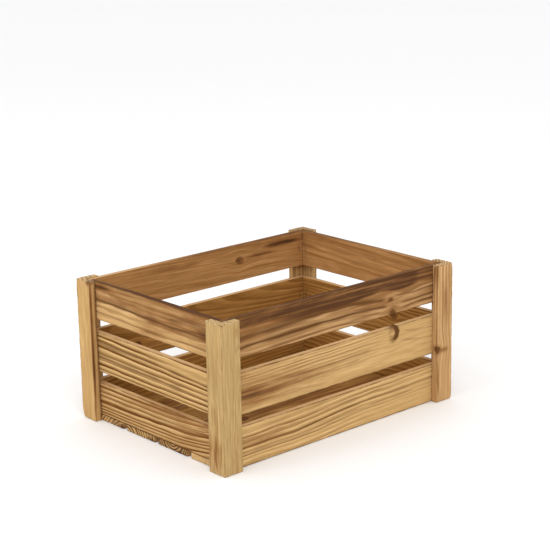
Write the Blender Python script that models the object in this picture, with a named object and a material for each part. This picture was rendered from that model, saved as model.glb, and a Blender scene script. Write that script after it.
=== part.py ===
"""Slatted wooden apple crate.

Four L-section corner posts stand outside three slats on every side.  Four bottom boards run
the long way, under the short-side slats.  Every joint is stapled from the inside, so nothing
shows on the outer faces.

Row frame, in metres: X along the long side, Y along the short side, Z up.  The origin is at
the middle of the footprint, on the ground.  Front is -Y, back is +Y, left is -X, right is +X.
"""

import bmesh
import bpy
from mathutils import Matrix, Vector

# Overall size
CRATE_LENGTH = 0.399
CRATE_WIDTH = 0.292
CRATE_HEIGHT = 0.190

# Corner posts: the width of each leg of the L and its thickness
POST_LEG = 0.029
POST_THICK = 0.0096
POST_EASE = 0.0009

# Slats and bottom boards
SLAT_THICK = 0.008
SLAT_EASE = 0.0006
SLAT_ROWS = {  # row name: (height of the lower edge, height of the upper edge)
    "bottom": (0.0006, 0.0525),
    "middle": (0.0674, 0.1211),
    "top": (0.1384, 0.1894),
}
BOARD_COUNT = 4
BOARD_WIDTH = 0.058
BOARD_THICK = 0.008

# Wire staples: a crown with two pointed legs
STAPLE_CROWN = 0.010
STAPLE_LEG = 0.0148
STAPLE_WIRE = 0.0012
STAPLE_POINT = 0.0015
STAPLE_SUNK = 0.0002

# Clearance between pieces that touch
FIT_GAP = 0.0003

# Planes measured inward from the crate's outer faces
SLAT_OUTER = POST_THICK + FIT_GAP
SLAT_INNER = SLAT_OUTER + SLAT_THICK
INSIDE_CORNER = SLAT_INNER + FIT_GAP
STAPLE_INSET = (INSIDE_CORNER + POST_LEG) / 2

HALF_LENGTH = CRATE_LENGTH / 2
HALF_WIDTH = CRATE_WIDTH / 2
BOARD_BOTTOM = SLAT_ROWS["bottom"][0]
BOARD_TOP = BOARD_BOTTOM + BOARD_THICK

BEDS_NAME = "staple_beds"


def clear_scene():
    """Remove every object that the file opened with."""
    for obj in list(bpy.data.objects):
        bpy.data.objects.remove(obj, do_unlink=True)


def make_material(name, colour, roughness, metallic=0.0):
    """One Principled BSDF with a plain colour."""
    material = bpy.data.materials.new(name)
    material.use_nodes = True
    shader = material.node_tree.nodes["Principled BSDF"]
    shader.inputs["Base Color"].default_value = (*colour, 1.0)
    shader.inputs["Roughness"].default_value = roughness
    shader.inputs["Metallic"].default_value = metallic
    material.diffuse_color = (*colour, 1.0)
    return material


def link_object(name, mesh, material, matrix):
    """Put a finished mesh into the scene as one named object."""
    mesh.materials.append(material)
    obj = bpy.data.objects.new(name, mesh)
    obj.matrix_world = matrix
    bpy.context.scene.collection.objects.link(obj)
    return obj


def finish_mesh(name, work):
    """Turn a bmesh into mesh data with its faces pointing out."""
    bmesh.ops.recalc_face_normals(work, faces=work.faces[:])
    mesh = bpy.data.meshes.new(name)
    work.to_mesh(mesh)
    work.free()
    return mesh


def ease_edges(work, edges, width):
    """Chamfer edges, as sanding does."""
    bmesh.ops.bevel(work, geom=edges, offset=width, offset_type="OFFSET", segments=1,
                    profile=0.5, affect="EDGES", clamp_overlap=True)


def plank_mesh(name, size, ease):
    """A sawn plank centred on its own origin, with eased edges."""
    work = bmesh.new()
    bmesh.ops.create_cube(work, size=1.0)
    bmesh.ops.scale(work, vec=size, verts=work.verts[:])
    ease_edges(work, work.edges[:], ease)
    return finish_mesh(name, work)


def post_mesh(name):
    """An L-section post: outer corner on its own Z axis, legs along +X and +Y."""
    outline = [(0, 0), (POST_LEG, 0), (POST_LEG, POST_THICK), (POST_THICK, POST_THICK),
               (POST_THICK, POST_LEG), (0, POST_LEG)]
    work = bmesh.new()
    foot = work.faces.new([work.verts.new((x, y, 0.0)) for x, y in outline])
    extruded = bmesh.ops.extrude_face_region(work, geom=[foot])["geom"]
    top_verts = [item for item in extruded if isinstance(item, bmesh.types.BMVert)]
    bmesh.ops.translate(work, vec=(0, 0, CRATE_HEIGHT), verts=top_verts)
    bmesh.ops.recalc_face_normals(work, faces=work.faces[:])
    outer_edges = [edge for edge in work.edges if edge.is_convex]
    ease_edges(work, outer_edges, POST_EASE)
    return finish_mesh(name, work)


def staple_path(grow):
    """Centre line of a staple in its own XZ plane, legs down, crown along X at the top."""
    half = (STAPLE_CROWN - STAPLE_WIRE) / 2
    crown_z = -STAPLE_WIRE / 2
    bend = STAPLE_WIRE / 2
    tip_z = -STAPLE_LEG - grow
    return [(-half, tip_z), (-half, crown_z - bend), (-half + bend, crown_z),
            (half - bend, crown_z), (half, crown_z - bend), (half, tip_z)]


def staple_mesh(name, grow=0.0):
    """A staple of square wire; grow fattens it all round, for the hole that it sits in."""
    path = [Vector((x, 0, z)) for x, z in staple_path(grow)]
    half_wire = STAPLE_WIRE / 2 + grow
    work = bmesh.new()
    rings = []
    for index, point in enumerate(path):
        before = path[max(index - 1, 0)]
        after = path[min(index + 1, len(path) - 1)]
        into = (point - before).normalized() if index else (after - point).normalized()
        out = (after - point).normalized() if index < len(path) - 1 else into
        along = (into + out).normalized()
        side = Vector((0, 1, 0)).cross(along) / max(along.dot(into), 0.5)
        ring = [work.verts.new(point + side * (sx * half_wire) + Vector((0, sy * half_wire, 0)))
                for sx, sy in ((-1, -1), (1, -1), (1, 1), (-1, 1))]
        rings.append(ring)
    for ring, following in zip(rings, rings[1:]):
        for corner in range(4):
            neighbour = (corner + 1) % 4
            work.faces.new([ring[corner], ring[neighbour], following[neighbour], following[corner]])
    work.faces.new(rings[0][::-1])
    work.faces.new(rings[-1])
    if grow == 0.0:
        sharpen_points(work)
    return finish_mesh(name, work)


def sharpen_points(work):
    """Cut the inner side of each leg's tip back, so that it is a chisel point."""
    for vert in work.verts:
        inner = abs(vert.co.x) < (STAPLE_CROWN - STAPLE_WIRE) / 2
        if inner and vert.co.z < -STAPLE_LEG + STAPLE_POINT:
            vert.co.z += STAPLE_POINT


def pose_matrix(place, legs, crown):
    """Matrix that puts a staple's crown at place, its legs pointing along legs."""
    z_axis = -Vector(legs)
    x_axis = Vector(crown)
    y_axis = z_axis.cross(x_axis)
    rotation = Matrix((x_axis, y_axis, z_axis)).transposed()
    return Matrix.Translation(place) @ rotation.to_4x4()


def side_staples():
    """Name and matrix of the staples that hold each slat's two ends to the posts."""
    depth = SLAT_INNER - STAPLE_SUNK
    sides = {  # side name: (outward direction, direction of the "left" or "front" end, its name)
        "front": (Vector((0, -1, 0)), Vector((-1, 0, 0)), ("left", "right")),
        "back": (Vector((0, 1, 0)), Vector((-1, 0, 0)), ("left", "right")),
        "left": (Vector((-1, 0, 0)), Vector((0, -1, 0)), ("front", "back")),
        "right": (Vector((1, 0, 0)), Vector((0, -1, 0)), ("front", "back")),
    }
    for side, (outward, toward_end, end_names) in sides.items():
        reach = Vector((HALF_LENGTH, HALF_WIDTH, 0))
        from_centre = abs(outward.dot(reach)) - depth
        along = abs(toward_end.dot(reach)) - STAPLE_INSET
        for row, (low, high) in SLAT_ROWS.items():
            if row == "bottom" and side in ("left", "right"):
                low = BOARD_TOP + FIT_GAP
            for end, end_name in zip((1, -1), end_names):
                place = outward * from_centre + toward_end * (along * end)
                place.z = (low + high) / 2
                yield f"staple_{side}_{row}_{end_name}", pose_matrix(place, outward, (0, 0, 1))


def board_centres():
    """Y of each bottom board's centre line, spread evenly between the long-side slats."""
    room = 2 * (HALF_WIDTH - INSIDE_CORNER)
    step = (room - BOARD_WIDTH) / (BOARD_COUNT - 1)
    return [-room / 2 + BOARD_WIDTH / 2 + step * index for index in range(BOARD_COUNT)]


def board_staples():
    """Name and matrix of the staples driven up through each board into the short-side slats."""
    x_reach = HALF_LENGTH - (SLAT_OUTER + SLAT_INNER) / 2
    for index, y in enumerate(board_centres(), start=1):
        for end_name, x in (("left", -x_reach), ("right", x_reach)):
            place = Vector((x, y, BOARD_BOTTOM + STAPLE_SUNK))
            yield f"staple_board_{index}_{end_name}", pose_matrix(place, (0, 0, 1), (0, 1, 0))


def add_staples(material):
    """The staples, and one hidden cutter made of the holes that all of them sit in."""
    beds = bmesh.new()
    for name, matrix in [*side_staples(), *board_staples()]:
        link_object(name, staple_mesh(name), material, matrix)
        bed = staple_mesh(name + "_bed", FIT_GAP)
        bed.transform(matrix)
        beds.from_mesh(bed)
        bpy.data.meshes.remove(bed)
    cutter = link_object(BEDS_NAME, finish_mesh(BEDS_NAME, beds), material, Matrix())
    cutter.hide_render = True
    cutter.display_type = "WIRE"
    return cutter


def cut_beds(wood, cutter):
    """Cut the staple holes into a piece of wood."""
    modifier = wood.modifiers.new("staple holes", "BOOLEAN")
    modifier.operation = "DIFFERENCE"
    modifier.solver = "EXACT"
    modifier.object = cutter


def add_plank(name, size, centre, material, cutter):
    """One straight plank with its staple holes."""
    mesh = plank_mesh(name, size, SLAT_EASE)
    cut_beds(link_object(name, mesh, material, Matrix.Translation(centre)), cutter)


def add_posts(material, cutter):
    """The four corner posts, each turned so that its legs follow its two sides."""
    quarter_turns = {  # post name: (x side, y side, quarter turns about Z)
        "post_left_front": (-1, -1, 0),
        "post_right_front": (1, -1, 1),
        "post_right_back": (1, 1, 2),
        "post_left_back": (-1, 1, 3),
    }
    quarter = Matrix(((0, -1, 0, 0), (1, 0, 0, 0), (0, 0, 1, 0), (0, 0, 0, 1)))
    for name, (x_side, y_side, turns) in quarter_turns.items():
        turn = Matrix()
        for _ in range(turns):
            turn = quarter @ turn
        place = Matrix.Translation((x_side * HALF_LENGTH, y_side * HALF_WIDTH, 0))
        post = link_object(name, post_mesh(name), material, place @ turn)
        cut_beds(post, cutter)


def add_side_slats(material, cutter):
    """Three slats on each side: long ones end at the posts, short ones fit between the long."""
    long_length = 2 * (HALF_LENGTH - SLAT_OUTER)
    short_length = 2 * (HALF_WIDTH - INSIDE_CORNER)
    y_centre = HALF_WIDTH - (SLAT_OUTER + SLAT_INNER) / 2
    x_centre = HALF_LENGTH - (SLAT_OUTER + SLAT_INNER) / 2
    for row, (low, high) in SLAT_ROWS.items():
        for side, sign in (("front", -1), ("back", 1)):
            add_plank(f"{side}_slat_{row}", (long_length, SLAT_THICK, high - low),
                      (0, sign * y_centre, (low + high) / 2), material, cutter)
        short_low = BOARD_TOP + FIT_GAP if row == "bottom" else low
        for side, sign in (("left", -1), ("right", 1)):
            add_plank(f"{side}_slat_{row}", (SLAT_THICK, short_length, high - short_low),
                      (sign * x_centre, 0, (short_low + high) / 2), material, cutter)


def add_bottom_boards(material, cutter):
    """Boards along the crate, their ends flush with the short-side slats' outer faces."""
    length = 2 * (HALF_LENGTH - SLAT_OUTER)
    z = (BOARD_BOTTOM + BOARD_TOP) / 2
    for index, y in enumerate(board_centres(), start=1):
        add_plank(f"bottom_board_{index}", (length, BOARD_WIDTH, BOARD_THICK), (0, y, z),
                  material, cutter)


def main():
    clear_scene()
    post_wood = make_material("post_pine", (0.46, 0.29, 0.115), 0.6)
    slat_wood = make_material("slat_pine", (0.36, 0.195, 0.082), 0.65)
    board_wood = make_material("board_pine", (0.42, 0.26, 0.12), 0.65)
    wire = make_material("staple_wire", (0.55, 0.54, 0.5), 0.4, metallic=1.0)
    cutter = add_staples(wire)
    add_posts(post_wood, cutter)
    add_side_slats(slat_wood, cutter)
    add_bottom_boards(board_wood, cutter)


main()
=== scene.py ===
"""Looks of the flamed pine apple crate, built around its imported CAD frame.

Every plank and post is a fine mesh of its own.  A growth-ring field, measured from the pith of
the tree that each piece was sawn from, drives both the brushed grain relief in the mesh and the
ring lines in its material.  Knots bend that field, and a burn field darkens the wood.
"""

import math

import bpy
import numpy as np
from mathutils import Matrix, Vector


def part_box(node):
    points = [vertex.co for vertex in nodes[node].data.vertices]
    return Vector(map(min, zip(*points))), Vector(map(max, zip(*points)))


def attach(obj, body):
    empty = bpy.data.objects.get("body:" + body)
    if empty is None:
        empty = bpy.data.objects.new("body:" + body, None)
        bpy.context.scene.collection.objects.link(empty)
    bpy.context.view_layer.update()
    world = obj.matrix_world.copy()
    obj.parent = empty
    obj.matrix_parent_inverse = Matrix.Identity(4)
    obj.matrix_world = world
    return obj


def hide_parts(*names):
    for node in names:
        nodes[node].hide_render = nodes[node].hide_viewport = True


BODY = "root"

# Mesh fineness, in metres
EDGE_LINES = (0.0, 0.00025, 0.00055, 0.00095, 0.0015)
ACROSS_PITCH = 0.00070
THICKNESS_PITCH = 0.0014
ALONG_PITCH = 0.0027
POST_ALONG_PITCH = 0.0022
KNOT_PITCH = 0.0009
BAND_SOFTNESS = 0.0028

# Eased arrises
PLANK_EASE = 0.00046
POST_EASE = 0.0010

# Chipped tips of the posts
TIP_LENGTH = 0.0026
CHIP_DEPTH = 0.0016

# How much the saw, the brush and drying leave below the surface, and the limits of the easing
SAWN_DEPTH = 0.00012
CRACK_DEPTH = 0.0006
INNER_BRUSHING = 0.45
LEAST_EASE = 0.0002
MOST_EASE = 0.0044

# How far a streak strays from its path, and how far a burnt arris reaches
STREAK_WAVE = 0.0009
BURNT_EDGE_FULL = 0.0003
BURNT_EDGE_END = 0.0019

# Staple crowns and the dents that they are driven into
CROWN_HALF_LENGTH = 0.0052
CROWN_HALF_WIDTH = 0.0009
CROWN_DENT = 0.00036

# A staple goes through a plank when it is at least this long across it.  Grid lines lie at these
# distances from its crown
STAPLE_THROUGH = 0.012
STAPLE_LINES = (-0.0015, -0.0009, -0.0003, 0.0003, 0.0009, 0.0015)

# The CAD's gap between wood that touches, and the least distance between grid lines
FIT_GAP = 0.0003
LINE_MERGE = 0.00012

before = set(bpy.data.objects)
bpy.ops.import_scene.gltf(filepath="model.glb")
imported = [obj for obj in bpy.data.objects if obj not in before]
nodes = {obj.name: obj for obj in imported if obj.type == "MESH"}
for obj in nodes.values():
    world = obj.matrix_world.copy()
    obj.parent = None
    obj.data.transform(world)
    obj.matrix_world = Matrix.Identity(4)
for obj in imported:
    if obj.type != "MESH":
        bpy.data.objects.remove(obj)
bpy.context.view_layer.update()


# ---- noise
# Places are multiplied by features per metre before they go into a noise.

def lattice_value(ix, iy, iz, seed):
    """A repeatable number from -1 to 1 for each whole-number lattice point."""
    mixed = (ix * 374761393 + iy * 668265263 + iz * 2147483647 + seed * 1274126177) & 0xFFFFFFFF
    mixed = ((mixed ^ (mixed >> 13)) * 1103515245) & 0xFFFFFFFF
    mixed = ((mixed ^ (mixed >> 16)) * 2246822519) & 0xFFFFFFFF
    return (mixed ^ (mixed >> 15)).astype(np.float64) / 2147483647.5 - 1.0


def smooth_noise(points, seed):
    """Value noise from -1 to 1 at each row of points, with features about one unit long."""
    base = np.floor(points).astype(np.int64)
    part = points - base
    blend = part * part * part * (part * (part * 6 - 15) + 10)
    total = np.zeros(len(points))
    for corner in range(8):
        step = np.array([(corner >> axis) & 1 for axis in range(3)])
        weight = np.prod(np.where(step, blend, 1 - blend), axis=1)
        cell = base + step
        total += weight * lattice_value(cell[:, 0], cell[:, 1], cell[:, 2], seed)
    return total


def layered_noise(points, seed, layers=3):
    """Smooth noise with finer, weaker layers added."""
    total = np.zeros(len(points))
    for layer in range(layers):
        total += smooth_noise(points * 2.0 ** layer, seed + 17 * layer) * 0.5 ** layer
    return total


def rows(s, u, v):
    """Places, one to a row."""
    return np.stack([s, u, v], 1)


def noise_along(s, seed):
    """Smooth noise that changes only along a piece."""
    return smooth_noise(rows(s, s * 0, s * 0), seed)


def smoothstep(low, high, value):
    part = np.clip((value - low) / (high - low), 0.0, 1.0)
    return part * part * (3 - 2 * part)


# ---- the pieces of wood

def knot(s, u, length, width, side=0.0, rim=0.9, rim_width=0.24, heart=0.9, deep=1.0,
         parting=0.92, ragged=0.16):
    """A knot: its place, its radii along and across the grain, how one-sided it looks, how dark
    and how wide its rim is, how dark its heart is, its radius below the outer face, how far it
    parts the grain, and how ragged its outline is."""
    return {"s": s, "u": u, "length": length, "width": width, "side": side, "rim": rim,
            "rim_width": rim_width, "heart": heart, "deep": deep, "parting": parting,
            "ragged": ragged}


def streak(strength, half_width, *path):
    """A dark streak along the grain through the (s, u) places of its path."""
    return {"strength": strength, "half_width": half_width, "path": path}


RIM_INSIDE_TINT_AND_SHADE = (1.04, 0.92, 0.82)  # the inside is pale and pinkish near the rim: a warm tint with less painted shade than the deeper inner faces

DEFAULT_WOOD = dict(
    pith=(0.05, -0.04),     # where the pith lies from the middle of the section (u, v)
    drift=(0.0, 0.0),       # how far it drifts per metre of length (u, v)
    ring_gap=0.0050,        # width of a year's growth
    pinch=0.0,              # how much tighter the rings get per metre of length
    sway=(),                # places where the grain swings: (s, half width, shift in u)
    fan=(),                 # lines that run aslant: (u, half width, rise per metre)
    waver=0.10,             # irregularity of the rings, in rings
    calm=(),                # smooth places: (s, u, radius s, radius u, strength)
    knots=(),
    knot_on_v=False,        # the places of knots and streaks are (s, v) instead
    streaks=(),
    streak_colour=(0.115, 0.046, 0.013),
    relief=0.00026,         # depth that the soft grain is brushed to
    lines=0.75,             # how dark the ring lines are
    burn=0.15,              # burn all over
    band=(),                # burnt band above: ((s, lowest u, strength), ...)
    spots=(),               # burnt spots: (s, u, v, radius s, radius u, radius v, strength)
    arris=0.6,              # how burnt the arrises are
    pink=0.3,               # 0 is golden wood, 1 is pinkish
    pale=0.0,               # how much lighter than usual
    tone=(1.0, 1.0, 1.0),   # tint of the clean wood
    end_light=1.0,          # how light the end grain is
    end_lines=1.0,          # how dark the ring lines of the end grain are
    end_clean=0.5,          # how little of the scorching the end grain shows
    splinters=0.0,          # how many pale and dark splinters the sawn tips show: pale specks of fresh wood with a painted highlight, dark specks of painted shade
    worn=(),                # corners worn round: (s, u, v, reach, extra radius)
    inside_burn=0.45,       # share of the burn that shows on the inner face
    inside_lines=0.55,      # share of the ring lines that shows on the inner face
    inside_tint_and_shade=(0.86, 0.71, 0.48),  # tint of the inner face, darker and warmer: partly its own colour, partly painted shade of the crate's inside
)

# What the bottom boards share, and what the posts share.  The boards lie inside the crate, and
# their darker, redder tone and heavier burn are partly burnt wood, partly painted shade
BOARD_WOOD_AND_SHADE = dict(tone=(0.86, 0.75, 0.54), inside_tint_and_shade=(1.0, 0.97, 0.95), burn=0.34,
                  relief=0.00018, inside_burn=1.1, inside_lines=0.75)
POST_WOOD = dict(splinters=0.8)

WOODS = {
    "front_slat_top": dict(
        pith=(0.02, -0.048), waver=0.16, burn=0.22, pink=0.85, lines=0.7, arris=0.85,
        sway=((0.1, 0.055, -0.006), (-0.02, 0.09, 0.003)),
        knots=(knot(0.0917, -0.0055, 0.0052, 0.0032, rim=0.4, heart=1.0, parting=0.75),
               knot(0.0955, -0.0245, 0.0064, 0.0078, rim=0.3, rim_width=0.5, heart=1.1)),
        streaks=(
            streak(0.84, 0.0034, (-0.19, -0.003), (-0.05, 0.0022), (0.013, 0.0036),
                   (0.085, -0.005)),
            streak(0.92, 0.0024, (-0.19, -0.0135), (-0.07, -0.0112), (0.013, -0.0092),
                   (0.088, -0.0132)),
            streak(0.5, 0.0014, (-0.12, -0.0215), (0.0, -0.0195), (0.078, -0.019)),
            streak(0.8, 0.0018, (0.1, -0.001), (0.135, -0.0032), (0.185, 0.001)),
            streak(0.82, 0.0018, (0.108, -0.0125), (0.14, -0.012), (0.185, -0.0095)),
            streak(0.8, 0.0017, (0.11, -0.02), (0.14, -0.0175), (0.185, -0.0165))),
        calm=((0.0, 0.018, 0.5, 0.01, 0.75), (0.0, -0.016, 0.5, 0.012, 0.45),
              (0.094, -0.003, 0.02, 0.007, 0.75)),
        band=((-0.19, 0.001, 0.6), (-0.115, 0.0028, 0.66), (-0.07, 0.006, 1.12),
              (0.045, 0.0058, 1.25), (0.125, 0.0066, 1.22), (0.145, 0.0085, 0.82),
              (0.19, 0.007, 0.72)),
        spots=((0.0, 0.0257, 0.0, 1.0, 0.0011, 1.0, 0.95),),
    ),
    "front_slat_middle": dict(
        pith=(-0.026, -0.034), ring_gap=0.0034, drift=(0.016, 0.0), relief=0.00018,
        knots=(knot(0.096, 0.0182, 0.0082, 0.0088, side=1.0, rim=1.5, rim_width=0.5,
                    heart=0.35, parting=0.5, ragged=0.06),),
        spots=((-0.15, 0.002, 0.004, 0.16, 0.032, 0.01, 0.44),
               (0.093, 0.022, 0.004, 0.01, 0.008, 0.01, 0.22)),
        calm=((0.15, 0.004, 0.125, 0.06, 0.94), (0.0, -0.022, 0.5, 0.0095, 0.8),
              (-0.12, 0.006, 0.16, 0.03, 0.44),
              (0.098, 0.014, 0.034, 0.016, 0.8)),
        streaks=(streak(0.35, 0.001, (0.112, 0.018), (0.135, 0.013), (0.19, 0.0115)),
                 streak(0.3, 0.001, (0.108, 0.006), (0.14, 0.0), (0.19, -0.003)),
                 streak(0.4, 0.0013, (-0.19, 0.0015), (-0.05, 0.0025), (0.06, 0.005)),
                 streak(0.42, 0.0014, (-0.19, -0.0072), (-0.06, -0.006), (0.04, -0.003))),
        lines=0.68, burn=0.03, pink=0.2, arris=0.8, waver=0.17, pale=0.86,
    ),
    "front_slat_bottom": dict(
        pith=(0.04, -0.042), ring_gap=0.0038, drift=(0.028, 0.0), relief=0.0002,
        sway=((-0.06, 0.05, -0.002), (0.04, 0.04, 0.0015)),
        spots=((-0.14, 0.002, 0.004, 0.16, 0.02, 0.01, 0.34),),
        calm=((0.13, -0.022, 0.13, 0.022, 0.96), (-0.1, -0.026, 0.12, 0.007, 0.6),
              (0.16, 0.0, 0.11, 0.05, 0.55)),
        streaks=(streak(0.55, 0.0012, (-0.19, -0.003), (-0.05, -0.0005), (0.02, 0.005),
                        (0.12, 0.007), (0.19, 0.011)),
                 streak(0.45, 0.001, (-0.19, -0.011), (-0.06, -0.009), (0.03, -0.003),
                        (0.14, 0.0)),
                 streak(0.4, 0.001, (-0.1, 0.012), (0.0, 0.013), (0.08, 0.0155))),
        lines=0.68, burn=0.03, pink=0.12, arris=0.8, waver=0.16, pale=1.0,
    ),
    "left_slat_top": dict(
        pith=(0.022, -0.046), ring_gap=0.0056, waver=0.2, relief=0.00028,
        sway=((0.02, 0.04, 0.002),), burn=0.26, pale=0.85, pink=0.45, lines=0.65, arris=0.9,
        band=((-0.14, -0.001, 0.41), (0.14, -0.001, 0.5)),
        calm=((0.02, 0.014, 0.09, 0.008, 0.8), (0.0, -0.018, 0.5, 0.012, 0.82)),
        spots=((0.0, 0.0257, 0.0, 1.0, 0.0011, 1.0, 0.9),
               (-0.105, 0.02, 0.004, 0.03, 0.006, 0.01, 0.65),
               (0.105, 0.004, 0.004, 0.03, 0.007, 0.01, 0.55)),
        streaks=(streak(0.85, 0.0028, (-0.14, 0.002), (-0.05, 0.001), (0.01, -0.001),
                        (0.07, -0.003), (0.14, -0.002)),
                 streak(0.55, 0.003, (0.03, 0.008), (0.08, 0.0105), (0.14, 0.007)),
                 streak(0.55, 0.0014, (-0.14, -0.015), (0.0, -0.017), (0.14, -0.018))),
    ),
    "left_slat_middle": dict(
        pith=(0.06, -0.03), ring_gap=0.006, fan=((0.013, 0.014, -0.03),),
        relief=0.0004, lines=1.15, burn=0.08, pink=0.14, waver=0.09, pale=0.55,
        arris=0.8, calm=((0.08, 0.017, 0.09, 0.008, 0.85),),
        spots=((-0.13, 0.0, 0.004, 0.09, 0.022, 0.01, 0.15),),
        streaks=(streak(0.65, 0.0018, (-0.14, 0.015), (0.0, 0.011), (0.14, 0.006)),
                 streak(0.7, 0.002, (-0.14, -0.0048), (0.0, -0.008), (0.14, -0.0115))),
    ),
    "left_slat_bottom": dict(
        pith=(0.055, -0.03), ring_gap=0.0049, pinch=0.4, relief=0.00042,
        sway=((0.15, 0.065, 0.011),), lines=1.15, burn=0.21, pale=0.25, waver=0.085, arris=0.85,
        streaks=(streak(0.45, 0.0014, (-0.14, 0.005), (0.03, 0.0045), (0.14, 0.0105)),),
    ),
    "back_slat_top": dict(
        pith=(-0.03, -0.04), ring_gap=0.0046, drift=(0.02, 0.02),
        knots=(knot(-0.062, 0.004, 0.0065, 0.005, side=0.3),), burn=0.2,
        band=((-0.19, 0.01, 0.75), (0.05, 0.014, 0.5), (0.19, 0.016, 0.3)), pink=0.6,
        arris=0.85, inside_lines=0.25, inside_burn=0.55, inside_tint_and_shade=RIM_INSIDE_TINT_AND_SHADE,
        spots=((-0.14, 0.014, -0.004, 0.045, 0.006, 0.004, 0.75),
               (-0.1, 0.006, -0.004, 0.04, 0.004, 0.004, 0.55),
               (0.06, 0.016, -0.004, 0.06, 0.006, 0.004, 0.6)),
    ),
    "back_slat_middle": dict(
        pith=(0.026, 0.04), ring_gap=0.0042, drift=(-0.03, 0.07), lines=0.6,
        burn=0.1, pink=0.35, knots=(knot(0.118, -0.01, 0.0055, 0.0045),),
    ),
    "back_slat_bottom": dict(
        pith=(0.045, -0.03), drift=(-0.03, 0.0), burn=0.12, pink=0.15,
    ),
    "right_slat_top": dict(
        pith=(-0.02, -0.05), ring_gap=0.0048, burn=0.2, drift=(0.04, 0.0),
        band=((-0.14, 0.01, 0.5), (0.14, 0.004, 0.8)), pink=0.6, arris=0.85,
        inside_lines=0.3, inside_burn=0.55, inside_tint_and_shade=RIM_INSIDE_TINT_AND_SHADE,
    ),
    "right_slat_middle": dict(
        pith=(0.05, -0.03), ring_gap=0.0052, pinch=-0.7, relief=0.00036, lines=0.9, burn=0.12,
        knots=(knot(-0.055, 0.008, 0.007, 0.0055, side=0.2),),
    ),
    "right_slat_bottom": dict(
        pith=(-0.045, -0.034), relief=0.00036, lines=0.9,
        burn=0.14, pink=0.2, sway=((-0.08, 0.05, 0.006),),
    ),
    "bottom_board_1": dict(
        pith=(0.01, -0.03), ring_gap=0.0048, pink=0.25, lines=0.45, arris=0.3,
        drift=(0.02, 0.015), pale=0.3, end_light=1.15, end_lines=0.2, end_clean=0.95,
    ),
    "bottom_board_2": dict(
        pith=(-0.004, 0.016), ring_gap=0.0042, pink=0.45, lines=0.5, arris=0.9,
        drift=(-0.02, 0.02), knots=(knot(-0.07, 0.006, 0.0075, 0.0058),),
        spots=((-0.19, 0.029, 0.0, 0.005, 0.004, 0.006, 0.9),
               (-0.19, -0.012, -0.004, 0.005, 0.016, 0.0028, 1.1),
               (-0.19, -0.029, 0.0, 0.005, 0.005, 0.006, 0.6)),
        end_light=1.05, end_lines=1.35,
    ),
    "bottom_board_3": dict(
        pith=(0.034, -0.018), ring_gap=0.0046, pink=0.2, lines=0.55,
        arris=0.9, sway=((0.05, 0.06, 0.005),), end_light=1.25, end_lines=1.35,
        spots=((-0.19, -0.02, -0.003, 0.005, 0.011, 0.0035, 1.1),),
    ),
    "bottom_board_4": dict(
        pith=(-0.03, -0.034), ring_gap=0.0048, pink=0.35, lines=0.55, arris=0.9,
        drift=(0.03, 0.0), end_light=1.15, end_lines=1.25,
        knots=(knot(0.104, -0.01, 0.006, 0.005),),
        spots=((-0.19, -0.026, -0.002, 0.005, 0.006, 0.004, 1.1),
               (-0.19, 0.012, 0.003, 0.004, 0.007, 0.004, 0.5)),
    ),
    "post_left_front": dict(
        pith=(0.07, 0.046), ring_gap=0.0052, relief=0.00014, lines=0.1,
        burn=0.09, pink=0.05, pale=0.66, arris=0.3, waver=0.5, end_light=1.35, splinters=1.0,
        calm=((0.1, 0.015, 1.0, 1.0, 0.85),), tone=(0.875, 0.92, 0.975),
        streak_colour=(0.195, 0.078, 0.014), knot_on_v=True,
        streaks=(streak(0.62, 0.0012, (0.002, 0.0268), (0.044, 0.0268)),
                 streak(0.55, 0.001, (0.012, 0.0232), (0.04, 0.0236)),
                 streak(0.7, 0.0015, (0.0, 0.015), (0.05, 0.0146)),
                 streak(0.55, 0.0011, (0.01, 0.0108), (0.04, 0.0112)),
                 streak(0.6, 0.0013, (0.008, 0.0062), (0.046, 0.006)),
                 streak(0.4, 0.0011, (0.052, 0.0205), (0.09, 0.0203)),
                 streak(0.5, 0.0012, (0.056, 0.0158), (0.09, 0.0161)),
                 streak(0.38, 0.001, (0.05, 0.0108), (0.096, 0.0106)),
                 streak(0.3, 0.0012, (0.11, 0.0262), (0.165, 0.0258)),
                 streak(0.25, 0.0012, (0.11, 0.012), (0.15, 0.0124))),
        spots=((0.1885, 0.0, 0.0, 0.0022, 0.006, 0.006, 0.55),
               (0.095, 0.018, 0.0, 1.0, 0.013, 0.004, 0.18),
               (0.172, 0.02, 0.0, 0.022, 0.007, 0.004, 0.3),
               (0.03, 0.0, 0.016, 0.036, 0.003, 0.014, 0.48),
               (0.07, 0.0, 0.016, 0.022, 0.003, 0.01, 0.16)),
        worn=((0.19, 0.0, 0.0, 0.012, 0.0012),),
    ),
    "post_left_back": dict(
        pith=(0.055, 0.08), ring_gap=0.006, relief=0.00012, lines=0.12,
        burn=0.1, pink=0.25, pale=0.62, arris=0.45, waver=0.3,
        end_light=1.2, calm=((0.1, 0.015, 1.0, 1.0, 0.85),),
        spots=((0.095, 0.029, 0.001, 0.3, 0.0018, 0.0024, 0.66),
               (0.095, 0.029, 0.0085, 0.3, 0.0018, 0.0024, 0.62),
               (0.19, 0.026, 0.004, 0.006, 0.01, 0.008, 0.8)),
        worn=((0.0, 0.0, 0.0, 0.014, 0.0032), (0.19, 0.0, 0.0, 0.01, 0.0012)),
    ),
    "post_right_front": dict(
        pith=(0.06, 0.055), ring_gap=0.0036, relief=0.00018, lines=0.6,
        end_light=1.2, calm=((0.0, 0.01, 0.095, 0.05, 0.95),),
        burn=0.04, pink=0.8, pale=0.75, arris=0.45, waver=0.05,
        knots=(knot(0.0742, 0.0292, 0.006, 0.0074, rim=0.3, rim_width=0.5, heart=1.1,
                    deep=0.007, parting=0.55),),
        knot_on_v=True,
        spots=((0.145, 0.0, 0.01, 0.05, 0.006, 0.016, 0.36),
               (0.18, 0.0, 0.029, 0.05, 0.008, 0.003, 0.66),
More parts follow.
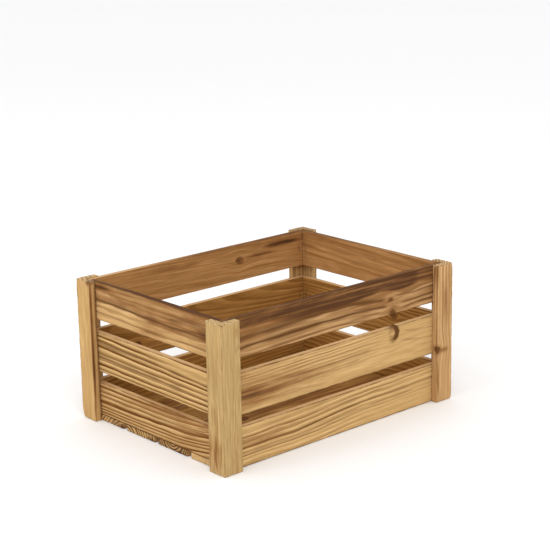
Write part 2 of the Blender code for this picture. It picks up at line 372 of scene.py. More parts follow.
               (0.03, 0.0, 0.027, 0.03, 0.008, 0.002, 0.5),
               (0.0725, 0.0, 0.016, 0.0045, 0.006, 0.012, 0.62)),
        worn=((0.19, 0.0, 0.0, 0.01, 0.001), (0.0, 0.0, 0.0, 0.01, 0.001)),
    ),
    "post_right_back": dict(
        pith=(0.05, 0.065), ring_gap=0.0044, relief=0.00016, lines=0.4,
        burn=0.1, pink=0.4, pale=0.25, arris=0.5, waver=0.12,
        spots=((0.12, 0.012, 0.0, 0.05, 0.008, 0.01, 0.4),),
        worn=((0.19, 0.0, 0.0, 0.01, 0.0012),),
    ),
}


def wood_of(name):
    """A piece's own values over the usual ones."""
    shared = {"bottom": BOARD_WOOD_AND_SHADE, "post": POST_WOOD}.get(name.split("_")[0], {})
    wood = {**DEFAULT_WOOD, **shared, **WOODS[name]}
    wood["seed"] = 100 + 7 * sorted(WOODS).index(name)
    return wood


# ---- fields over a piece of wood

def pith_shift(wood, s, u):
    """How far the grain has moved in u at each place along the length."""
    shift = wood["drift"][0] * s
    for place, half_width, rise in wood["fan"]:
        shift = shift + rise * s * np.exp(-((u - place) / half_width) ** 2)
    for place, half_width, amount in wood["sway"]:
        shift = shift + amount * np.exp(-((s - place) / half_width) ** 2)
    return shift


def part_grain_round_knots(wood, s, u):
    """The u that the grain would have without its knots: it is pushed aside by each."""
    for spot in wood["knots"]:
        near = np.exp(-((s - spot["s"]) / (2.6 * spot["length"])) ** 2
                      - ((u - spot["u"]) / (2.4 * spot["width"])) ** 2)
        u = spot["u"] + (u - spot["u"]) * (1 - spot["parting"] * near)
    return u


def ring_field(wood, s, u, v):
    """Growth-ring number at each point."""
    if wood["knot_on_v"]:
        v = part_grain_round_knots(wood, s, v)
    else:
        u = part_grain_round_knots(wood, s, u)
    away_u = u - wood["pith"][0] - pith_shift(wood, s, u)
    away_v = v - wood["pith"][1] - wood["drift"][1] * s
    rings = np.hypot(away_u, away_v) / wood["ring_gap"]
    rings = rings + rings * wood["pinch"] * s * 0.5
    rings = rings + 0.38 * noise_along(rings * 0.55, wood["seed"] + 31)
    slow = layered_noise(rows(s * 9, u * 55, v * 55), wood["seed"])
    ripple = smooth_noise(rows(s * 48, u * 110, v * 110), wood["seed"] + 41)
    return rings + wood["waver"] * (1.6 * slow + 0.7 * ripple)


def knot_field(wood, s, u, below):
    """How dark each point is as part of a knot's heart, and as part of a knot's rim."""
    heart = np.zeros(len(s))
    rim = np.zeros(len(s))
    for index, spot in enumerate(wood["knots"]):
        noise = layered_noise(rows(s * 260, u * 260, s * 0), wood["seed"] + index, 2)
        distance = np.sqrt(((s - spot["s"]) / spot["length"]) ** 2
                           + ((u - spot["u"]) / spot["width"]) ** 2
                           + (below / spot["deep"]) ** 2)
        distance = distance * (1 + spot["ragged"] * noise)
        facing = np.clip(0.5 + 0.5 * (s - spot["s"]) / spot["length"], 0, 1)
        shown = 1 - abs(spot["side"]) * (1 - facing)
        filled = spot["heart"] * (1 - smoothstep(0.15, 1.15, distance))
        heart = np.maximum(heart, filled * shown ** 1.5)
        band = np.exp(-((distance - 0.95) / spot["rim_width"]) ** 4)
        rim = np.maximum(rim, spot["rim"] * band * shown)
    return heart, rim


def streak_field(wood, s, u):
    """How dark the streaks make each point."""
    dark = np.zeros(len(s))
    for line in wood["streaks"]:
        path = np.array(line["path"])
        wave = STREAK_WAVE * noise_along(s * 28, wood["seed"] + 21)
        middle = np.interp(s, path[:, 0], path[:, 1]) + wave
        width = line["half_width"] * (1 + 0.45 * noise_along(s * 45, wood["seed"] + 22))
        ends = smoothstep(path[0, 0] - 0.001, path[0, 0] + 0.012, s)
        ends = ends * (1 - smoothstep(path[-1, 0] - 0.012, path[-1, 0] + 0.001, s))
        dark = np.maximum(dark, line["strength"] * ends * np.exp(-((u - middle) / width) ** 2))
    return dark


def calm_field(wood, s, u):
    """How much of the ring lines shows at each point."""
    shown = np.ones(len(s))
    for place_s, place_u, radius_s, radius_u, strength in wood["calm"]:
        away = ((s - place_s) / radius_s) ** 2 + ((u - place_u) / radius_u) ** 2
        shown = shown * (1 - strength * np.exp(-away ** 1.5))
    return shown


def burn_field(wood, s, u, v, outer):
    """How scorched the wood is, from 0 to 1."""
    patches = layered_noise(rows(s * 14, u * 60, v * 60), wood["seed"] + 3)
    burn = wood["burn"] * (1 + 0.9 * patches)
    if wood["band"]:
        places, lows, strengths = np.array(wood["band"]).T
        low = np.interp(s, places, lows)
        edge_wave = 0.0025 * noise_along(s * 16, wood["seed"] + 5)
        inside = smoothstep(low - BAND_SOFTNESS, low + BAND_SOFTNESS,
                            u + edge_wave + 0.0015 * patches)
        strength = np.interp(s, places, strengths)
        burn = np.maximum(burn, inside * strength * (0.95 + 0.15 * patches))
    burn = burn * np.where(outer, 1.0, wood["inside_burn"])
    for place_s, place_u, place_v, radius_s, radius_u, radius_v, strength in wood["spots"]:
        away = ((s - place_s) / radius_s) ** 2
        away = away + ((u - place_u) / radius_u) ** 2 + ((v - place_v) / radius_v) ** 2
        burn = np.maximum(burn, strength * np.exp(-away) * (1 + 0.5 * patches))
    return np.clip(burn, 0, 1)


def ring_profile(rings):
    """Height of the brushed surface over one ring: soft early wood is low, late wood stands."""
    part = rings - np.floor(rings)
    return smoothstep(0.40, 0.80, part) * (1 - smoothstep(0.92, 1.0, part))


# ---- meshes

def axis_lines(length, pitch, extra=()):
    """Grid lines from 0 to length: close together at both ends, and at the extra places."""
    near = [x for x in EDGE_LINES if x < length / 2]
    first, last = near[-1], length - near[-1]
    count = max(2, int(round((last - first) / pitch)))
    middle = list(np.linspace(first, last, count + 1)[1:-1])
    lines = near + middle + [length - x for x in near] + list(extra)
    lines = np.unique(np.round(np.array(lines), 7))
    keep = np.concatenate([[True], np.diff(lines) > LINE_MERGE])
    keep[-1] = True
    return lines[keep]


def shell(s_lines, u_lines, v_lines, solid):
    """Quads round the solid cells of a (u, v) section that runs along s."""
    count_s, count_u, count_v = len(s_lines), len(u_lines), len(v_lines)
    index = np.arange(count_s * count_u * count_v).reshape(count_s, count_u, count_v)
    padded = np.pad(solid, 1)
    quads = []

    def wall(a, b, flip):
        strip = np.stack([a[:-1], b[:-1], b[1:], a[1:]], 1)
        quads.append(strip[:, ::-1] if flip else strip)

    for i in range(count_u):
        for j in range(count_v - 1):
            before, after = padded[i, j + 1], padded[i + 1, j + 1]
            if before != after:
                wall(index[:, i, j], index[:, i, j + 1], bool(before))
    for i in range(count_u - 1):
        for j in range(count_v):
            before, after = padded[i + 1, j], padded[i + 1, j + 1]
            if before != after:
                wall(index[:, i, j], index[:, i + 1, j], bool(after))
    cell_u, cell_v = np.nonzero(solid)
    for end, flip in ((0, True), (count_s - 1, False)):
        cap = np.stack([index[end, cell_u, cell_v], index[end, cell_u + 1, cell_v],
                        index[end, cell_u + 1, cell_v + 1], index[end, cell_u, cell_v + 1]], 1)
        quads.append(cap[:, ::-1] if flip else cap)
    quads = np.concatenate(quads)
    used, quads = np.unique(quads, return_inverse=True)
    quads = quads.reshape(-1, 4)
    grid = np.stack(np.meshgrid(s_lines, u_lines, v_lines, indexing="ij"), -1).reshape(-1, 3)
    return grid[used], quads


def round_off(points, blocks, radius):
    """Ease the arrises of a shape made of blocks.  Also returns the way out at each point."""
    core_best = points.copy()
    far_best = np.full(len(points), 1e9)
    for low, high in blocks:
        core = np.clip(points, low + radius[:, None], high - radius[:, None])
        far = np.linalg.norm(points - core, axis=1)
        closer = far < far_best - 1e-9
        core_best[closer] = core[closer]
        far_best[closer] = far[closer]
    outward = (points - core_best) / np.maximum(far_best, 1e-9)[:, None]
    eased = core_best + outward * np.minimum(far_best, radius)[:, None]
    return eased, outward


def arris_distance(points, blocks):
    """Distance from each surface point to the nearest arris."""
    best = np.zeros(len(points))
    for low, high in blocks:
        gaps = np.concatenate([points - low, high - points], 1)
        inside = gaps.min(1) > -1e-7
        second = np.sort(gaps, 1)[:, 1]
        best = np.where(inside, np.maximum(best, second), best)
    return best


def add_object(name, data):
    added = bpy.data.objects.new(name, data)
    bpy.context.scene.collection.objects.link(added)
    return added


def write_attribute(mesh, name, values):
    attribute = mesh.attributes.new(name, "FLOAT", "POINT")
    attribute.data.foreach_set("value", values.astype(np.float32))


def write_vector(mesh, name, values):
    attribute = mesh.attributes.new(name, "FLOAT_VECTOR", "POINT")
    attribute.data.foreach_set("vector", values.astype(np.float32).ravel())


def easing_radius(wood, points, ease, tip):
    """How far the arrises are eased: unevenly, and more where they are worn or chipped."""
    seed = wood["seed"]
    radius = ease * (1 + 0.45 * smooth_noise(points * 130, seed + 1)
                     + 0.30 * smooth_noise(points * 420, seed + 2))
    for place_s, place_u, place_v, reach, extra in wood["worn"]:
        away = np.linalg.norm(points - np.array([place_s, place_u, place_v]), axis=1)
        radius = radius + extra * (1 - smoothstep(0, reach, away))
    chips = np.clip(smooth_noise(points * 520, seed + 4) - 0.15, 0, 1)
    radius = radius + CHIP_DEPTH * wood["splinters"] * chips * tip
    return np.clip(radius, LEAST_EASE, MOST_EASE)


def wood_fields(wood, s, u, v, outward, outer, is_plank):
    """What the material and the relief read at each point, by attribute name."""
    across, below = (v, u) if wood["knot_on_v"] else (u, v * 0)
    inside_knot, rim = knot_field(wood, s, across, below)
    fade = calm_field(wood, s, across) * np.where(outer, 1.0, wood["inside_lines"])
    narrow_side = np.zeros(len(s))
    if is_plank:
        narrow_side = smoothstep(0.5, 0.85, np.abs(outward[:, 1]))
        fade = fade * (1 - 0.7 * narrow_side)
    return {
        "ring": ring_field(wood, s, u, v),
        "burn": burn_field(wood, s, u, v, outer),
        "knot": inside_knot,
        "rim": rim,
        "cap": smoothstep(0.4, 0.8, np.abs(outward[:, 0])),
        "fade": fade,
        "narrow": narrow_side,
        "streak": streak_field(wood, s, across) * np.where(outer, 1.0, 0.3),
        "inner": np.where(outer, 0.0, 1.0),
    }


def surface_depth(wood, s, u, v, outer, fields):
    """How far brush, saw and drying cracks have lowered each point."""
    seed = wood["seed"]
    dark = np.clip(fields["rim"] + fields["knot"] + fields["streak"], 0, 1)
    soft = (1 - ring_profile(fields["ring"])) * (1 - dark)
    fine = 0.5 + 0.5 * smooth_noise(rows(s * 40, u * 900, v * 900), seed + 8)
    brushed = wood["relief"] * (soft * fields["fade"] * (0.75 + 0.5 * fine) + 0.25 * fine)
    brushed = brushed * np.where(outer, 1.0, INNER_BRUSHING) * (1 - 0.5 * fields["cap"])
    sawn = SAWN_DEPTH * (1 + smooth_noise(rows(s * 22, u * 30, v * 30), seed + 9)) / 2
    crack_lines = smooth_noise(rows(s * 420, u * 420, v * 60), seed + 11)
    cracks = CRACK_DEPTH * np.clip(fields["knot"] - 0.35, 0, 1) * (np.abs(crack_lines) < 0.10)
    return brushed + sawn + cracks


def crown_dents(s, u, staples):
    """Depth of the dents that the staple crowns are driven into."""
    dent = np.zeros(len(s))
    for staple_s, staple_u in staples:
        near_s = 1 - smoothstep(CROWN_HALF_WIDTH, CROWN_HALF_WIDTH + 0.0006, np.abs(s - staple_s))
        near_u = 1 - smoothstep(CROWN_HALF_LENGTH, CROWN_HALF_LENGTH + 0.0008,
                                np.abs(u - staple_u))
        dent = np.maximum(dent, CROWN_DENT * near_s * near_u)
    return dent


def carve(name, wood, lines, solid, blocks, ease, matrix, outer_test, staples=()):
    """Build one piece of wood in its own (s, u, v) space and place it by matrix."""
    points, quads = shell(*lines, solid)
    is_plank = len(blocks) == 1
    s_lines = lines[0]
    to_tip = np.minimum(points[:, 0] - s_lines[0], s_lines[-1] - points[:, 0])
    tip = 1 - smoothstep(TIP_LENGTH / 2, TIP_LENGTH, to_tip)
    eased, outward = round_off(points, blocks, easing_radius(wood, points, ease, tip))
    s, u, v = eased.T
    outer = outer_test(eased, outward)
    fields = wood_fields(wood, s, u, v, outward, outer, is_plank)
    near_edge = 1 - smoothstep(BURNT_EDGE_FULL, BURNT_EDGE_END, arris_distance(points, blocks))
    burnt_share = np.where(v > -0.001, 1.0, 0.3) if is_plank else np.ones(len(s))
    fields["arris"] = near_edge * burnt_share
    fields["tip"] = tip
    dents = crown_dents(s, u, staples) * ~outer
    depth = np.maximum(surface_depth(wood, s, u, v, outer, fields), dents)
    placed = eased - outward * depth[:, None]
    mesh = bpy.data.meshes.new(name + "_wood")
    mesh.from_pydata(placed.tolist(), [], quads.tolist())
    mesh.transform(matrix)
    mesh.shade_smooth()
    for attribute, values in fields.items():
        write_attribute(mesh, attribute, values)
    write_vector(mesh, "fibre", eased + wood["seed"] * np.array([0.37, 0.11, 0.05]))
    piece = add_object(name + "_wood", mesh)
    piece.data.materials.append(wood_material(name, wood))
    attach(piece, BODY)
    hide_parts(name)
    return piece


def frame_matrix(origin, s_axis, u_axis, v_axis):
    """Matrix from a piece's (s, u, v) space to the row frame."""
    columns = Matrix((s_axis, u_axis, v_axis)).transposed().to_4x4()
    return Matrix.Translation(origin) @ columns


def staple_places(plank_name, matrix):
    """Places (s, u) of the staple crowns in a plank, read from the frame's staple nodes."""
    low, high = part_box(plank_name)
    back = matrix.inverted()
    places = []
    for node in nodes:
        if not node.startswith("staple_"):
            continue
        staple_low, staple_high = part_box(node)
        middle = (staple_low + staple_high) / 2
        crossing = all(staple_high[k] > low[k] and staple_low[k] < high[k] for k in range(3))
        through = back @ middle
        thickness_axis = back.to_3x3() @ (staple_high - staple_low)
        if crossing and abs(thickness_axis[2]) > STAPLE_THROUGH:
            places.append((through[0], through[1]))
    return places


def knot_lines(wood, offset):
    """Extra grid lines along the piece where its knots are."""
    lines = []
    for spot in wood["knots"]:
        reach = 1.5 * spot["length"]
        count = int(2 * reach / KNOT_PITCH)
        lines += list(np.linspace(spot["s"] - reach, spot["s"] + reach, count) + offset)
    return lines


def build_plank(name, s_axis, u_axis, v_axis):
    """A straight plank.  s runs along it, v points out of its outer face, and its own origin is
    the middle of the plank."""
    low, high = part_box(name)
    middle = (low + high) / 2
    size = Vector(high - low)
    axes = [Vector(a) for a in (s_axis, u_axis, v_axis)]
    length, width, thick = (abs(size.dot(axis)) for axis in axes)
    matrix = frame_matrix(middle, *axes)
    wood = wood_of(name)
    half = np.array([length, width, thick]) / 2
    staples = staple_places(name, matrix)
    extra = [place[0] + half[0] + step for place in staples for step in STAPLE_LINES]
    extra += knot_lines(wood, half[0])
    s_lines = axis_lines(length, ALONG_PITCH, extra) - half[0]
    u_lines = axis_lines(width, ACROSS_PITCH) - half[1]
    v_lines = axis_lines(thick, THICKNESS_PITCH) - half[2]
    solid = np.ones((len(u_lines) - 1, len(v_lines) - 1), bool)

    def is_outer(_, outward):
        return outward[:, 2] > -0.5

    return carve(name, wood, (s_lines, u_lines, v_lines), solid, [(-half, half)], PLANK_EASE,
                 matrix, is_outer, staples)


def build_post(name, x_side, y_side):
    """An L-section post.  Its own origin is the outer corner at the foot, s runs up, and the two
    legs lie along u and v."""
    low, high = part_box(name)
    corner = Vector((low.x if x_side < 0 else high.x, low.y if y_side < 0 else high.y, low.z))
    along_x = Vector((-x_side, 0, 0))
    along_y = Vector((0, -y_side, 0))
    leg = high.x - low.x
    height = high.z - low.z
    thick = POST_THICK
    up = Vector((0, 0, 1))
    # The legs are ordered so that s, u and v make a right-handed space
    legs = (along_x, along_y) if up.cross(along_x).dot(along_y) > 0 else (along_y, along_x)
    matrix = frame_matrix(corner, up, *legs)
    wood = wood_of(name)
    wall = axis_lines(thick, THICKNESS_PITCH)
    beyond = axis_lines(leg - thick, ACROSS_PITCH)[1:] + thick
    lines = np.concatenate([wall, beyond])
    s_lines = axis_lines(height, POST_ALONG_PITCH, knot_lines(wood, 0.0))
    middles = (lines[1:] + lines[:-1]) / 2
    solid = (middles[:, None] < thick) | (middles[None, :] < thick)
    blocks = [(np.zeros(3), np.array([height, leg, thick])),
              (np.zeros(3), np.array([height, thick, leg]))]

    def is_outer(points, _):
        return (points[:, 1] < thick + 1e-4) | (points[:, 2] < thick + 1e-4)

    return carve(name, wood, (s_lines, lines, lines), solid, blocks, POST_EASE, matrix, is_outer)


# ---- materials

class Graph:
    """A short way to write a material's node tree."""

    def __init__(self, name):
        self.material = bpy.data.materials.new(name)
        self.material.use_nodes = True
        self.tree = self.material.node_tree
        self.shader = self.tree.nodes["Principled BSDF"]

    def add(self, kind, **settings):
        node = self.tree.nodes.new(kind)
        for key, value in settings.items():
            setattr(node, key, value)
        return node

    def plug(self, socket, value):
        if isinstance(value, bpy.types.NodeSocket):
            self.tree.links.new(value, socket)
        elif isinstance(value, tuple) and len(value) == 3 and socket.type == "RGBA":
            socket.default_value = (*value, 1.0)
        else:
            socket.default_value = value

    def math(self, operation, a, b=0.0, c=0.0, clamp=False):
        node = self.add("ShaderNodeMath", operation=operation, use_clamp=clamp)
        for socket, value in zip(node.inputs, (a, b, c)):
            self.plug(socket, value)
        return node.outputs[0]

    def times(self, a, b, clamp=False):
        return self.math("MULTIPLY", a, b, clamp=clamp)

    def ramp(self, value, low, high, to_low=0.0, to_high=1.0):
        """Smooth step of a value from low to high."""
        node = self.add("ShaderNodeMapRange", interpolation_type="SMOOTHSTEP")
        for socket, setting in zip(node.inputs, (value, low, high, to_low, to_high)):
            self.plug(socket, setting)
        return node.outputs[0]

    def mix(self, factor, a, b, blend="MIX"):
        node = self.add("ShaderNodeMix", data_type="RGBA", blend_type=blend)
        self.plug(node.inputs[0], factor)
        self.plug(node.inputs[6], a)
        self.plug(node.inputs[7], b)
        return node.outputs[2]

    def attribute(self, name, output="Fac"):
        return self.add("ShaderNodeAttribute", attribute_name=name).outputs[output]

    def stretch(self, vector, scale):
        node = self.add("ShaderNodeVectorMath", operation="MULTIPLY")
        self.plug(node.inputs[0], vector)
        node.inputs[1].default_value = scale
        return node.outputs[0]

    def join(self, x, y, z=0.0):
        node = self.add("ShaderNodeCombineXYZ")
        for socket, value in zip(node.inputs, (x, y, z)):
            self.plug(socket, value)
        return node.outputs[0]

    def grain(self, fibre, along, across, detail=3.0, roughness=0.6):
        """Noise stretched along the fibres.  Along and across are features per metre."""
        return self.noise(self.stretch(fibre, (along, across, across)), 1.0, detail, roughness)

    def noise(self, vector, scale=1.0, detail=2.0, roughness=0.5):
        node = self.add("ShaderNodeTexNoise")
        self.plug(node.inputs["Vector"], vector)
        node.inputs["Scale"].default_value = scale
        node.inputs["Detail"].default_value = detail
        node.inputs["Roughness"].default_value = roughness
        return node.outputs["Fac"]


# Colours of the wood, and how its surface takes the light
GOLDEN_LIGHT = (0.58, 0.378, 0.158)
GOLDEN_MID = (0.39, 0.22, 0.064)
PINK_LIGHT = (0.56, 0.33, 0.15)
PINK_MID = (0.37, 0.185, 0.066)
LINE_BROWN = (0.135, 0.052, 0.009)
SCORCH = (0.255, 0.108, 0.032)
CHAR = (0.073, 0.029, 0.0125)
KNOT_HEART = (0.165, 0.068, 0.022)
KNOT_RIM = (0.12, 0.05, 0.014)
END_LINE = (0.085, 0.042, 0.014)
# The pale splinter colour is fresh wood with a painted highlight
SPLINTER_PALE_AND_HIGHLIGHT = (0.8, 0.62, 0.38)
END_TINT = (0.87, 0.88, 0.9)
NARROW_PINK = (0.66, 0.41, 0.205)
ARRIS_BROWN = (0.115, 0.046, 0.012)
BRIGHTER = (1.26, 1.29, 1.4)
WOOD_SPECULAR = 0.04
WOOD_BUMP = 0.45
WOOD_BUMP_DEPTH = 0.00018
ZINC_LIGHT = (0.50, 0.49, 0.46)
ZINC_DULL = (0.30, 0.27, 0.23)
ZINC_BUMP = 0.3
ZINC_BUMP_DEPTH = 0.00005
FLOOR_DIM = (0.93, 0.93, 0.93)
FLOOR_BRIGHT = (0.95, 0.95, 0.95)


def blend_colours(a, b, share):
    return tuple(x + (y - x) * share for x, y in zip(a, b))


def ring_lines(g, ring, fade, broad):
    """Dark lines of late wood, each ring with its own strength.  Returns how far each point lies
    through its ring, how the dark line ends there, and the line itself."""
    wander = g.math("MULTIPLY_ADD", broad, 0.16, ring)
    part = g.math("FRACT", wander)
    year = g.math("FLOOR", wander)
    year_noise = g.add("ShaderNodeTexWhiteNoise", noise_dimensions="1D")
    g.plug(year_noise.inputs["W"], year)
    year_strength = g.ramp(year_noise.outputs["Value"], 0.0, 0.9, 0.40, 1.1)
    fall = g.ramp(part, 0.92, 1.0, 1.0, 0.0)
    line = g.times(g.ramp(part, 0.30, 0.80), fall)
    line = g.times(line, year_strength)
    line = g.times(line, fade)
    line = g.times(line, g.ramp(broad, 0.2, 0.75, 0.62, 1.15))
    return part, fall, line


def light_wood(wood):
    """The light colour of a piece's wood."""
    return blend_colours(GOLDEN_LIGHT, PINK_LIGHT, wood["pink"])


def clean_colour(g, wood, fibre, fade, part, line, fine, broad, patches):
    """Wood with its rings and fibres, before it is flamed."""
    pale = wood["pale"]
    light = tuple(min(1.0, x * (1 + 0.12 * pale) * k)
                  for x, k in zip(light_wood(wood), wood["tone"]))
    mid = blend_colours(GOLDEN_MID, PINK_MID, wood["pink"])
    mid = blend_colours(tuple(x * k for x, k in zip(mid, wood["tone"])), light, 0.6 * pale)
    bright = tuple(min(1.0, x * k) for x, k in zip(light, BRIGHTER))
    early = g.times(g.ramp(part, 0.02, 0.45, 1.0, 0.0), fade)
    colour = g.mix(g.ramp(broad, 0.30, 0.72), light, mid)
    colour = g.mix(g.ramp(patches, 0.35, 0.75, 0.0, 0.45), colour, mid)
    colour = g.mix(g.times(early, 0.80), colour, bright)
    colour = g.mix(g.times(line, wood["lines"], clamp=True), colour, LINE_BROWN)
    coarse = g.grain(fibre, 24.0, 480.0, roughness=0.65)
    colour = g.mix(g.ramp(coarse, 0.50, 0.74, 0.0, 0.50 - 0.3 * pale), colour, mid)
    shade = g.times(g.ramp(fine, 0.25, 0.75, 0.82, 1.10),
                    g.ramp(coarse, 0.28, 0.62, 1.10, 0.93))
    colour = g.mix(1.0, colour, g.join(shade, shade, shade), "MULTIPLY")

    # The narrow sides are paler and pinker than the faces, and the inner face has its own tint,
    # darker and warmer: partly its own colour, partly painted shade of the crate's inside
    colour = g.mix(g.times(g.attribute("narrow"), 0.65), colour, NARROW_PINK)
    tinted_and_shaded = g.mix(1.0, colour, wood["inside_tint_and_shade"], "MULTIPLY")
    return g.mix(g.attribute("inner"), colour, tinted_and_shaded)


def scorch(g, wood, colour, fibre, broad, mottle):
    """Brown and then dark and dull where the wood was flamed, stronger along some fibres.  Also
    returns how black each point is."""
    burn = g.attribute("burn")
    flame = g.grain(fibre, 6.0, 210.0, roughness=0.55)
    torch = g.times(burn, g.ramp(flame, 0.28, 0.72, 0.62, 1.38))
    torch = g.math("MINIMUM", torch, g.math("MULTIPLY_ADD", burn, 0.6, 0.5))
    torch = g.math("MULTIPLY_ADD", g.math("SUBTRACT", broad, 0.5), 0.40, torch)
    torch = g.math("MULTIPLY_ADD", g.math("SUBTRACT", mottle, 0.5), 0.25, torch)
    black_share = g.ramp(torch, 0.40, 1.05, 0.0, 0.92)
    colour = g.mix(g.ramp(torch, 0.08, 0.62, 0.0, 0.85), colour, SCORCH)
    colour = g.mix(black_share, colour, CHAR)
    flow = g.times(g.attribute("streak"), g.ramp(broad, 0.25, 0.6, 0.75, 1.15))
    flow = g.times(flow, 1.0, clamp=True)
    return g.mix(flow, colour, wood["streak_colour"]), black_share


def add_knots(g, colour, mottle):
    """Knots: a brown heart, and a darker rim."""
    speck = g.math("MULTIPLY_ADD", g.math("SUBTRACT", mottle, 0.5), 0.5, g.attribute("knot"))
    colour = g.mix(g.ramp(speck, 0.05, 0.45, 0.0, 0.92), colour, KNOT_HEART)
    colour = g.mix(g.ramp(speck, 0.45, 0.95, 0.0, 0.75), colour, KNOT_RIM)
    return g.mix(g.times(g.attribute("rim"), 0.95, clamp=True), colour, KNOT_RIM)


def burn_arrises(g, wood, colour, fibre):
    """Burnt arrises, broken along their length."""
    broken = g.grain(fibre, 55.0, 90.0, 4.0, 0.65)
    burnt = g.times(g.attribute("arris"), g.ramp(broken, 0.34, 0.60, 0.25, 1.0))
    return g.mix(g.times(burnt, wood["arris"]), colour, ARRIS_BROWN)


def add_end_grain(g, wood, colour, fibre, part, fall, patches, black_share):
    """End grain: dark ring lines on darker wood, with specks of open pores."""
    pores = g.noise(fibre, 1900.0, 2.0, 0.6)
    end_line = g.times(g.ramp(part, 0.30, 0.75), fall)
    end_line = g.times(end_line, g.ramp(patches, 0.35, 0.62, 0.45, 1.0))
    end_line = g.times(end_line, wood["end_lines"], clamp=True)
    end_colour = g.mix(wood["end_clean"], colour, light_wood(wood))
    end_colour = g.mix(end_line, end_colour, END_LINE)
    end_colour = g.mix(black_share, end_colour, CHAR)
    end_tint = tuple(x * wood["end_light"] for x in END_TINT)
    end_colour = g.mix(1.0, end_colour, end_tint, "MULTIPLY")
    end_colour = g.mix(g.ramp(pores, 0.58, 0.72, 0.0, 0.55), end_colour, LINE_BROWN)
    return g.mix(g.attribute("cap"), colour, end_colour)


def add_splinters_lit_and_shaded(g, wood, colour, fibre):
    """Pale and dark splinters at the sawn tips: the pale specks are fresh wood with a painted
    highlight on raised fibres, and the dark specks are painted shade between them.
    """
    splinter = g.grain(fibre, 500.0, 1100.0, 2.0)
    tip = g.times(g.attribute("tip"), wood["splinters"])
    raised_highlight = g.times(tip, g.ramp(splinter, 0.52, 0.66, 0.0, 0.75))
    sunken_shade = g.times(tip, g.ramp(splinter, 0.33, 0.46, 0.75, 0.0))
    return g.mix(sunken_shade, g.mix(raised_highlight, colour, SPLINTER_PALE_AND_HIGHLIGHT), LINE_BROWN)


def add_bump(g, height, strength, distance):
    bump = g.add("ShaderNodeBump")
    bump.inputs["Strength"].default_value = strength
    bump.inputs["Distance"].default_value = distance
    g.plug(bump.inputs["Height"], height)
    g.plug(g.shader.inputs["Normal"], bump.outputs["Normal"])


def wood_material(name, wood):
    """Flamed pine: ring lines, fibres, scorching, knots, burnt arrises and end grain."""
    g = Graph(name + "_pine")
    ring = g.attribute("ring")
    fade = g.attribute("fade")
    fibre = g.attribute("fibre", "Vector")
    split = g.add("ShaderNodeSeparateXYZ")
    g.plug(split.inputs[0], fibre)

    # Fibres: fine ones along the piece, and broader ones that follow the rings round knots
    fine = g.grain(fibre, 22.0, 1500.0)
    flow = g.join(g.times(split.outputs[0], 7.0), g.times(ring, 2.6))
    broad = g.noise(flow, 1.0, 4.0, 0.6)
    patches = g.grain(fibre, 9.0, 38.0, roughness=0.5)
    mottle = g.grain(fibre, 60.0, 160.0)

    part, fall, line = ring_lines(g, ring, fade, broad)
    colour = clean_colour(g, wood, fibre, fade, part, line, fine, broad, patches)
    colour, black_share = scorch(g, wood, colour, fibre, broad, mottle)
    colour = add_knots(g, colour, mottle)
    colour = burn_arrises(g, wood, colour, fibre)
    colour = add_end_grain(g, wood, colour, fibre, part, fall, patches, black_share)
    if wood["splinters"]:
        colour = add_splinters_lit_and_shaded(g, wood, colour, fibre)

    g.plug(g.shader.inputs["Base Color"], colour)
    roughness = g.math("MULTIPLY_ADD", line, -0.12, g.ramp(fine, 0.2, 0.8, 0.60, 0.74))
    g.plug(g.shader.inputs["Roughness"], g.math("MULTIPLY_ADD", black_share, 0.10, roughness))
    g.shader.inputs["Specular IOR Level"].default_value = WOOD_SPECULAR
    height = g.math("MULTIPLY_ADD", line, 0.8, fine)
    height = g.math("MULTIPLY_ADD", mottle, 0.3, height)
    add_bump(g, height, WOOD_BUMP, WOOD_BUMP_DEPTH)
    return g.material


def staple_material():
    """Galvanised wire, drawn along its length and dulled by heat."""
    g = Graph("staple_zinc")
    place = g.add("ShaderNodeTexCoord").outputs["Object"]
    cloud = g.noise(place, 700.0, 3.0, 0.6)
    scratch = g.noise(g.stretch(place, (2500.0, 2500.0, 300.0)), 1.0, 2.0, 0.5)
    colour = g.mix(g.ramp(cloud, 0.35, 0.7), ZINC_LIGHT, ZINC_DULL)
    g.plug(g.shader.inputs["Base Color"], colour)
    g.shader.inputs["Metallic"].default_value = 1.0
    g.plug(g.shader.inputs["Roughness"], g.ramp(scratch, 0.3, 0.7, 0.32, 0.52))
    add_bump(g, scratch, ZINC_BUMP, ZINC_BUMP_DEPTH)
    return g.material


def floor_material():
    """A plain, nearly white studio floor."""
    g = Graph("studio_floor")
    cloud = g.noise(g.add("ShaderNodeTexCoord").outputs["Object"], 0.6, 2.0, 0.5)
    g.plug(g.shader.inputs["Base Color"], g.mix(cloud, FLOOR_DIM, FLOOR_BRIGHT))
    g.shader.inputs["Roughness"].default_value = 0.9
    g.shader.inputs["Specular IOR Level"].default_value = 0.1
    return g.material


# ---- the crate

X = Vector((1, 0, 0))
Y = Vector((0, 1, 0))
Z = Vector((0, 0, 1))
SIDE_AXES = {"front": (X, Z, -Y), "back": (-X, Z, Y), "left": (-Y, Z, -X), "right": (Y, Z, X)}
POST_SIDES = {"post_left_front": (-1, -1), "post_right_front": (1, -1),
              "post_right_back": (1, 1), "post_left_back": (-1, 1)}

# The posts' thickness is where the slats begin, less the fit gap that shows beside them
POST_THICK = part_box("left_slat_top")[0].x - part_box("post_left_front")[0].x - FIT_GAP


def build_crate():
    for name, sides in POST_SIDES.items():
        build_post(name, *sides)
    for side, axes in SIDE_AXES.items():
        for row in ("bottom", "middle", "top"):
            build_plank(f"{side}_slat_{row}", *axes)
    for board in sorted(name for name in nodes if name.startswith("bottom_board_")):
        build_plank(board, X, Y, Z)
    zinc = staple_material()
    for name, node in nodes.items():
        if name.startswith("staple_"):
            node.data.materials.clear()
            node.data.materials.append(zinc)


# ---- studio

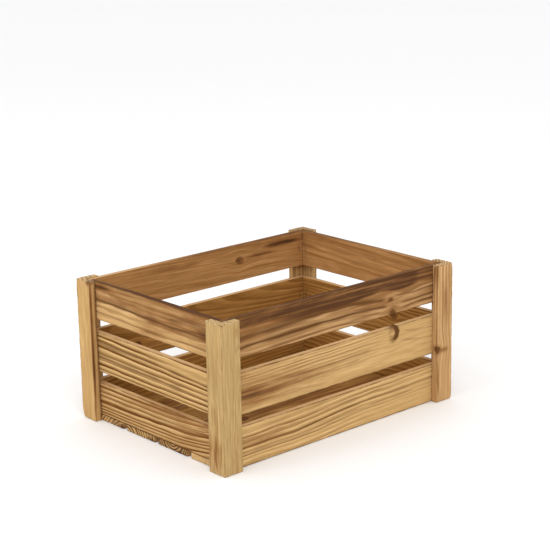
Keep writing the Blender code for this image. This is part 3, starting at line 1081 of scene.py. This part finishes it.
FLOOR_SIZE = 40.0
CAMERA_AZIMUTH = math.radians(-41.489)
CAMERA_ELEVATION = math.radians(15.277)
CAMERA_ROLL = math.radians(-1.037)
CAMERA_DISTANCE = 2.0343
CAMERA_TARGET = Vector((0.02306, 0.00949, 0.17696))
CAMERA_LENS = 100.74
SENSOR_WIDTH = 36.0

LIGHT_AIM = Vector((0, 0, 0.1))
KEY_PLACE = Vector((-1.5, -2.2, 2.6))
KEY_SIZE = 1.5
KEY_POWER = 30
FILL_PLACE = Vector((-2.6, 0.2, 1.8))
FILL_SIZE = 1.4
FILL_POWER = 15


def add_floor():
    mesh = bpy.data.meshes.new("floor")
    half = FLOOR_SIZE / 2
    corners = [(-half, -half, 0), (half, -half, 0), (half, half, 0), (-half, half, 0)]
    mesh.from_pydata(corners, [], [(0, 1, 2, 3)])
    floor = add_object("floor", mesh)
    mesh.materials.append(floor_material())


def add_area_light(name, place, size, power):
    light = bpy.data.lights.new(name, "AREA")
    light.shape = "SQUARE"
    light.size = size
    light.energy = power
    lamp = add_object(name, light)
    lamp.location = place
    lamp.rotation_mode = "QUATERNION"
    lamp.rotation_quaternion = (LIGHT_AIM - place).to_track_quat("-Z", "Y")


def add_camera():
    """The camera: back is the way from its target to it."""
    azimuth, elevation, roll = CAMERA_AZIMUTH, CAMERA_ELEVATION, CAMERA_ROLL
    back = Vector((math.sin(azimuth) * math.cos(elevation),
                   -math.cos(azimuth) * math.cos(elevation), math.sin(elevation)))
    level = Vector((math.cos(azimuth), math.sin(azimuth), 0))
    upright = back.cross(level)
    right = level * math.cos(roll) + upright * math.sin(roll)
    up = upright * math.cos(roll) - level * math.sin(roll)
    data = bpy.data.cameras.new("camera")
    data.lens = CAMERA_LENS
    data.sensor_width = SENSOR_WIDTH
    camera = add_object("camera", data)
    turn = Matrix((right, up, back)).transposed().to_4x4()
    camera.matrix_world = Matrix.Translation(CAMERA_TARGET + back * CAMERA_DISTANCE) @ turn
    bpy.context.scene.camera = camera


def light_studio():
    world = bpy.data.worlds.new("studio")
    bpy.context.scene.world = world
    world.use_nodes = True
    background = world.node_tree.nodes["Background"]
    background.inputs["Color"].default_value = (1.0, 1.0, 1.0, 1.0)
    background.inputs["Strength"].default_value = 1.0
    add_area_light("key", KEY_PLACE, KEY_SIZE, KEY_POWER)
    add_area_light("fill", FILL_PLACE, FILL_SIZE, FILL_POWER)
    bpy.context.scene.view_settings.view_transform = "Standard"


def main():
    build_crate()
    add_floor()
    light_studio()
    add_camera()


main()
